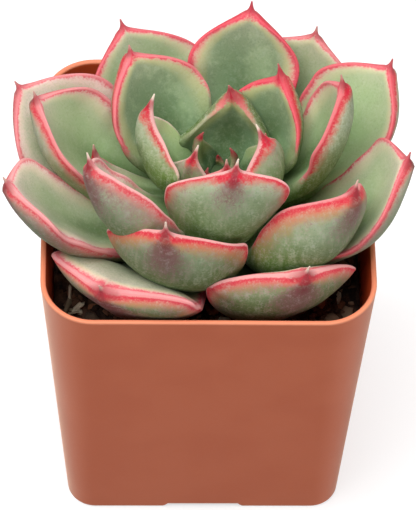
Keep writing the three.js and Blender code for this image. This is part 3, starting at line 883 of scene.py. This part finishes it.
def rounded_square(half, corner, stations, corner_steps):
    """Points round a square with rounded corners, the same count for every size."""
    points = []
    for quarter in range(4):
        turn = quarter * math.pi / 2
        c, d = math.cos(turn), math.sin(turn)
        flat = half - corner
        local = [(half, flat * s) for s in stations]
        for i in range(1, corner_steps):
            a = math.pi / 2 * i / corner_steps
            local.append((flat + corner * math.cos(a), flat + corner * math.sin(a)))
        points += [(c * x - d * y, d * x + c * y) for x, y in local]
    return np.array(points)


def pot_loop(z, inset, stations, corner_steps=14, scale=1):
    """The pot's outline at a height, that far within its outer wall, or a smaller copy of it."""
    up = z / POT_HEIGHT
    half = (FOOT_WIDTH + (RIM_WIDTH - FOOT_WIDTH) * up) / 2 - inset
    corner = max(FOOT_CORNER + (RIM_CORNER - FOOT_CORNER) * up - inset, LEAST_CORNER)
    outline = rounded_square(half, corner, stations, corner_steps) * scale
    return np.column_stack([outline, np.full(len(outline), z)])


def notch_stations():
    """Where points stand along a side, -1 to 1, close together at the ends of the notch."""
    notch = NOTCH_WIDTH / 2
    marks = [0, notch - 1.2, notch - 0.25, notch]
    marks += [notch + NOTCH_SLOPE * 0.34, notch + NOTCH_SLOPE * 0.67, notch + NOTCH_SLOPE, notch + NOTCH_SLOPE + 0.3]
    marks = [m / (FOOT_WIDTH / 2 - FOOT_CORNER) for m in marks]
    marks += list(np.linspace(marks[-1], 1, 7)[1:])
    return [-m for m in marks[:0:-1]] + marks


def wall_profile():
    """The wall from its foot over the lip to the floor: height, inset, and 1 where it is inside."""
    profile = []
    for a in np.linspace(-90, 0, 5):
        z = FOOT_ROUND * (1 + math.sin(math.radians(a)))
        profile.append((z, FOOT_ROUND * (1 - math.cos(math.radians(a))), 0))
    profile += [(z, 0, 0) for z in OUTER_LEVELS]
    for a in np.linspace(0, 180, 11):
        radius = LIP_ROUND if a <= 90 else WALL - LIP_ROUND
        z = POT_HEIGHT - LIP_ROUND + LIP_ROUND * math.sin(math.radians(a))
        profile.append((z, LIP_ROUND - radius * math.cos(math.radians(a)), 0 if a < 90 else 1))
    profile += [(z, WALL, 1) for z in INNER_LEVELS]
    profile += [(FLOOR_TOP + FLOOR_FILLET, WALL, 1), (FLOOR_TOP + FILLET_MIDDLE, WALL + FILLET_MIDDLE, 1)]
    profile.append((FLOOR_TOP, WALL + FLOOR_FILLET, 1))
    return profile


def make_pot(outside, inside):
    stations = notch_stations()
    recess = FOOT_ROUND + RECESS_INSET
    under = [(FLOOR_UNDERSIDE, recess + RECESS_TOP_INSET, share) for share in FLOOR_RINGS[::-1] + (1,)]
    under += [(FLOOR_UNDERSIDE - RECESS_ROUND, recess + RECESS_TAPER, 1), (0, recess, 1)]
    profile = wall_profile()
    over = [(FLOOR_TOP, WALL + FLOOR_FILLET, share) for share in FLOOR_RINGS]
    loops = [pot_loop(z, inset, stations, scale=share) for z, inset, share in under]
    loops += [pot_loop(z, inset, stations) for z, inset, _ in profile]
    loops += [pot_loop(z, inset, stations, scale=share) for z, inset, share in over]
    flags = [0] * len(under) + [inner for _, _, inner in profile] + [1] * len(over)
    points = np.concatenate(loops)

    # The foot is notched in the middle of each side
    across = np.abs(points[:, :2])
    lift = ramp(NOTCH_WIDTH / 2 + NOTCH_SLOPE - across.min(1), 0, NOTCH_SLOPE) * NOTCH_HEIGHT
    at_foot = across.max(1) > FOOT_WIDTH / 2 - NOTCH_DEPTH
    points[:, 2] = np.where(at_foot, np.maximum(points[:, 2], lift), points[:, 2])

    # Moulded walls are never quite flat
    z = points[:, 2]
    outward = points[:, :2] / np.linalg.norm(points[:, :2], axis=1)[:, None]
    warp = ripple(points * [1, 1, 0.6], size=26, seed=41) * WALL_WARP
    warp = warp * ramp(z, 0, POT_HEIGHT) * ramp(z, 0, 6)
    points[:, :2] += outward * warp[:, None]
    points[:, 2] += ripple(points * [1, 1, 0], size=18, seed=42) * LIP_WARP * ramp(z, 55, 8)

    points = np.concatenate([points, [[0, 0, FLOOR_UNDERSIDE]], [[0, 0, FLOOR_TOP]]])
    faces = skin_loops(len(loops[0]), len(loops))
    fields = {"inner": np.append(np.repeat(flags, len(loops[0])), [0, 1])}
    pot = make_piece("pot_fine", points, faces, outside, fields)
    drill_drains(pot)
    line_pot(pot, inside)
    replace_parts(pot, "pot")


def line_pot(pot, inside):
    """The same plastic without the sheen that handling gives it, on the faces within the lip."""
    pot.data.materials.append(inside)
    within = pot.data.attributes["inner"].data
    for face in pot.data.polygons:
        if all(within[v].value > 0.99 for v in face.vertices):
            face.material_index = 1


def drill_drains(pot):
    """Four round drain holes through the floor."""
    points, faces = [], []
    for sx in (-1, 1):
        for sy in (-1, 1):
            ring = [len(points) + i for i in range(DRAIN_STEPS)]
            for z in (FLOOR_UNDERSIDE - DRAIN_OVERSHOOT, FLOOR_TOP + DRAIN_OVERSHOOT):
                for i in range(DRAIN_STEPS):
                    a = 2 * math.pi * i / DRAIN_STEPS
                    x = sx * DRAIN_OFFSET + DRAIN_RADIUS * math.cos(a)
                    points.append((x, sy * DRAIN_OFFSET + DRAIN_RADIUS * math.sin(a), z))
            faces.append(ring[::-1])
            faces.append([i + DRAIN_STEPS for i in ring])
            for i, j in zip(ring, ring[1:] + ring[:1]):
                faces.append((i, j, j + DRAIN_STEPS, i + DRAIN_STEPS))
    mesh = bpy.data.meshes.new("drain_cutters")
    mesh.from_pydata((np.array(points) * MM).tolist(), [], faces)
    cutters = bpy.data.objects.new("drain_cutters", mesh)
    bpy.context.scene.collection.objects.link(cutters)
    cut = pot.modifiers.new("drains", "BOOLEAN")
    cut.object = cutters
    cut.operation = "DIFFERENCE"
    cut.solver = "EXACT"
    bpy.context.view_layer.update()
    carved = bpy.data.meshes.new_from_object(pot.evaluated_get(bpy.context.evaluated_depsgraph_get()))
    pot.modifiers.clear()
    pot.data = carved
    bpy.data.objects.remove(cutters)


# Soil and stem


def soil_height(x, y):
    lumps = np.sin(x * 0.43 + 1) * np.cos(y * 0.37 + 0.4) + 0.6 * np.sin(x * 0.91 - y * 0.77)
    return SOIL_LEVEL + SOIL_RELIEF * lumps


def make_soil(material):
    """A block that fills the pot, with a rough top of rings that close in on the middle."""
    stations = np.linspace(-1, 1, 25)[:-1]
    inset = WALL + SOIL_CLEARANCE
    bottom = FLOOR_TOP + SOIL_OVER_FLOOR
    loops = [pot_loop(z, inset, stations, 9) for z in (bottom, *SOIL_WALL_LEVELS)]
    for scale in np.linspace(1, 0.02, SOIL_RINGS):
        ring = pot_loop(SOIL_LEVEL, inset, stations, 9, scale)
        rough = sum(high * ripple(ring * [1, 1, 0], size, seed, waves) for high, size, seed, waves in SOIL_LUMPS)
        ring[:, 2] = soil_height(ring[:, 0], ring[:, 1]) + rough
        loops.append(ring)
    points = np.concatenate(loops + [[[0, 0, bottom]], loops[-1].mean(0)[None]])
    fields = {"tone": np.clip(0.35 + 0.3 * ripple(points, size=1.6, seed=64), 0, 1)}
    faces = skin_loops(len(loops[0]), len(loops))
    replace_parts(make_piece("soil_fine", points, faces, material, fields), "soil")


def ball():
    """A small closed ball of radius 1: its points and faces."""
    points = []
    for i in range(1, BALL_RINGS):
        a = math.pi * i / BALL_RINGS
        for j in range(BALL_STEPS):
            b = 2 * math.pi * j / BALL_STEPS
            points.append((math.sin(a) * math.cos(b), math.sin(a) * math.sin(b), -math.cos(a)))
    points += [(0, 0, -1), (0, 0, 1)]
    return np.array(points), skin_loops(BALL_STEPS, BALL_RINGS - 1)


def off_limits(x, y, limit, clear):
    """Whether a place is past the soil's rounded corner or under the heart of the rosette."""
    past_x, past_y = abs(x) - limit + SOIL_CORNER, abs(y) - limit + SOIL_CORNER
    if min(past_x, past_y) > 0 and math.hypot(past_x, past_y) > SOIL_CORNER:
        return True
    return math.hypot(x - STEM_X, y - STEM_Y) < clear


def scatter(name, material, count, seed, long, wide, thick, tilt, sink, jag=0.22, spots=None, clear=0.0):
    """Fragments of one kind lying on the soil, each knocked out of round in its own way.

    long, wide and thick are ranges of size, sink is the share of a fragment that is in the soil, and
    clear is the radius round the stem that stays free.
    """
    draw = np.random.default_rng(seed)
    shape, shape_faces = ball()
    squared = np.sign(shape) * np.abs(shape) ** 0.75
    points, faces, tones = [], [], []
    limit = FOOT_WIDTH / 2 + BEYOND_FOOT - long[1] / 2
    for n in range(count):
        size = np.array([draw.uniform(*long), draw.uniform(*wide), draw.uniform(*thick)]) / 2
        x, y = spots[n % len(spots)] if spots else draw.uniform(-limit, limit, 2)
        if off_limits(x, y, limit, clear):
            continue
        body = squared * (1 + jag * ripple(shape * 2.1, size=1.4, seed=seed * 1000 + n)[:, None]) * size
        turn = Matrix.Rotation(draw.uniform(0, 2 * math.pi), 3, "Z") @ Matrix.Rotation(draw.normal(0, tilt), 3, "X")
        turn = turn @ Matrix.Rotation(draw.normal(0, tilt), 3, "Y")
        z = soil_height(x, y) + size[2] * (1 - 2 * sink)
        start = len(points) * len(shape)
        points.append(body @ np.array(turn).T + [x, y, z])
        faces += [tuple(start + i for i in f) for f in shape_faces]
        tones.append(np.full(len(shape), draw.uniform(0, 1)))
    make_piece(name, np.concatenate(points), faces, material, {"tone": np.concatenate(tones)})


def make_stem(material):
    """The root stub, a collar that widens to the lowest leaves, and the taper up to the heart."""
    levels = [(ROOT_END, 0.5), (ROOT_END + 0.5, ROOT_RADIUS * 0.7), (ROOT_SHOULDER, ROOT_RADIUS)]
    for z in np.linspace(ROOT_SHOULDER + 1, COLLAR_LEVEL - 0.5, 10):
        widened = (COLLAR_RADIUS - ROOT_RADIUS) * (z - ROOT_SHOULDER) / (COLLAR_LEVEL - ROOT_SHOULDER)
        levels.append((z, ROOT_RADIUS + widened))
    for z in np.linspace(COLLAR_LEVEL, LOWEST_LEAF - 0.5, 9):
        widened = (STEM_BASE - COLLAR_RADIUS) * (z - COLLAR_LEVEL) / (LOWEST_LEAF - COLLAR_LEVEL)
        levels.append((z, COLLAR_RADIUS + widened))
    for up in np.linspace(0, 1, 24):
        levels.append((LOWEST_LEAF + (HIGHEST_LEAF - LOWEST_LEAF) * up, stem_radius(up)))
    levels += [(HIGHEST_LEAF + 0.6, STEM_TOP * 0.8), (HIGHEST_LEAF + 0.95, STEM_TOP * 0.4)]
    angles = np.linspace(0, 2 * np.pi, STEM_STEPS, endpoint=False)
    loops = []
    for z, radius in levels:
        scars = SCAR_DEPTH * np.sin(angles * 5 + z * 1.3) * (SCARRED[0] < z < SCARRED[1])
        uneven = 1 + scars + RING_DEPTH * math.sin(z * 3.1)
        x = STEM_X + radius * uneven * np.cos(angles)
        y = STEM_Y + radius * uneven * np.sin(angles)
        loops.append(np.column_stack([x, y, np.full(STEM_STEPS, z)]))
    ends = [[[STEM_X, STEM_Y, ROOT_END]], [[STEM_X, STEM_Y, HIGHEST_LEAF + 1]]]
    faces = skin_loops(STEM_STEPS, len(loops))
    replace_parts(make_piece("stem_fine", np.concatenate(loops + ends), faces, material), "stem")


# Studio


def place_light(name, place, target, width, height, power):
    lamp = bpy.data.lights.new(name, "AREA")
    lamp.shape = "RECTANGLE"
    lamp.size = width
    lamp.size_y = height
    lamp.energy = power
    light = bpy.data.objects.new(name, lamp)
    bpy.context.scene.collection.objects.link(light)
    light.location = place
    light.rotation_euler = (Vector(target) - Vector(place)).to_track_quat("-Z", "Y").to_euler()


def make_studio():
    """A white floor that glows a little, soft lights all round and an even world."""
    paint = Finish("studio_floor")
    paint.set(Base_Color=(0.5, 0.5, 0.5), Roughness=0.9, Emission_Color=(1, 1, 1), Emission_Strength=FLOOR_GLOW)
    mesh = bpy.data.meshes.new("studio_floor")
    corners = [(x * FLOOR_REACH, y * FLOOR_REACH, 0) for x, y in ((-1, -1), (1, -1), (1, 1), (-1, 1))]
    mesh.from_pydata(corners, [], [(0, 1, 2, 3)])
    mesh.materials.append(paint.material)
    floor = bpy.data.objects.new("studio_floor", mesh)
    bpy.context.scene.collection.objects.link(floor)
    floor.visible_diffuse = False
    world = bpy.data.worlds.new("studio")
    bpy.context.scene.world = world
    world.use_nodes = True
    world.node_tree.nodes["Background"].inputs["Color"].default_value = (1, 1, 1, 1)
    world.node_tree.nodes["Background"].inputs["Strength"].default_value = WORLD_LIGHT
    for name, light in LIGHTS.items():
        place_light(name, *light)
    bpy.context.scene.view_settings.view_transform = "Standard"
    bpy.context.scene.view_settings.look = "None"


place_camera()
flesh = leaf_finish()
for number, sizes in enumerate(LEAF_SIZES, 1):
    leaf = dict(zip(LEAF_FIELDS, sizes))
    leaf.update(zip(LOOK_FIELDS, LEAF_LOOKS[leaf["order"]]))
    make_leaf(leaf, number, flesh)
make_pot(pot_finish("pot_plastic", SHEEN_OUTSIDE), pot_finish("pot_plastic_inside", 0.0))

peat = soil_finish("potting_mix", PEAT)
bark = soil_finish("bark_chips", BARK_CHIP, 0.7)
pale = soil_finish("pale_fibres", PALE_FIBRE, 0.6)
grit = soil_finish("grit", GRIT, 0.8)
make_soil(peat)
scatter(
    "peat_crumbs", peat, count=1300, seed=71, long=(0.6, 2.0), wide=(0.5, 1.6), thick=(0.4, 1.3),
    tilt=0.5, sink=0.35, clear=4.5,
)
scatter(
    "bark_bits", bark, count=150, seed=72, long=(1.6, 5.0), wide=(0.7, 1.9), thick=(0.4, 1.0),
    tilt=0.3, sink=0.3, clear=6.5,
)
scatter(
    "grit_bits", grit, count=60, seed=73, long=(0.7, 1.8), wide=(0.6, 1.5), thick=(0.5, 1.2),
    tilt=0.4, sink=0.35, clear=5.5,
)
scatter(
    "pale_shreds", pale, count=9, seed=74, long=(3.0, 5.0), wide=(0.7, 1.4), thick=(0.4, 0.8),
    tilt=0.5, sink=0.1, jag=0.5, spots=PALE_SPOTS,
)
scatter(
    "pebbles", grit, count=3, seed=75, long=(2.6, 3.6), wide=(2.0, 2.8), thick=(1.6, 2.2),
    tilt=0.3, sink=0.3, spots=PEBBLE_SPOTS,
)
make_stem(stem_finish())
make_studio()
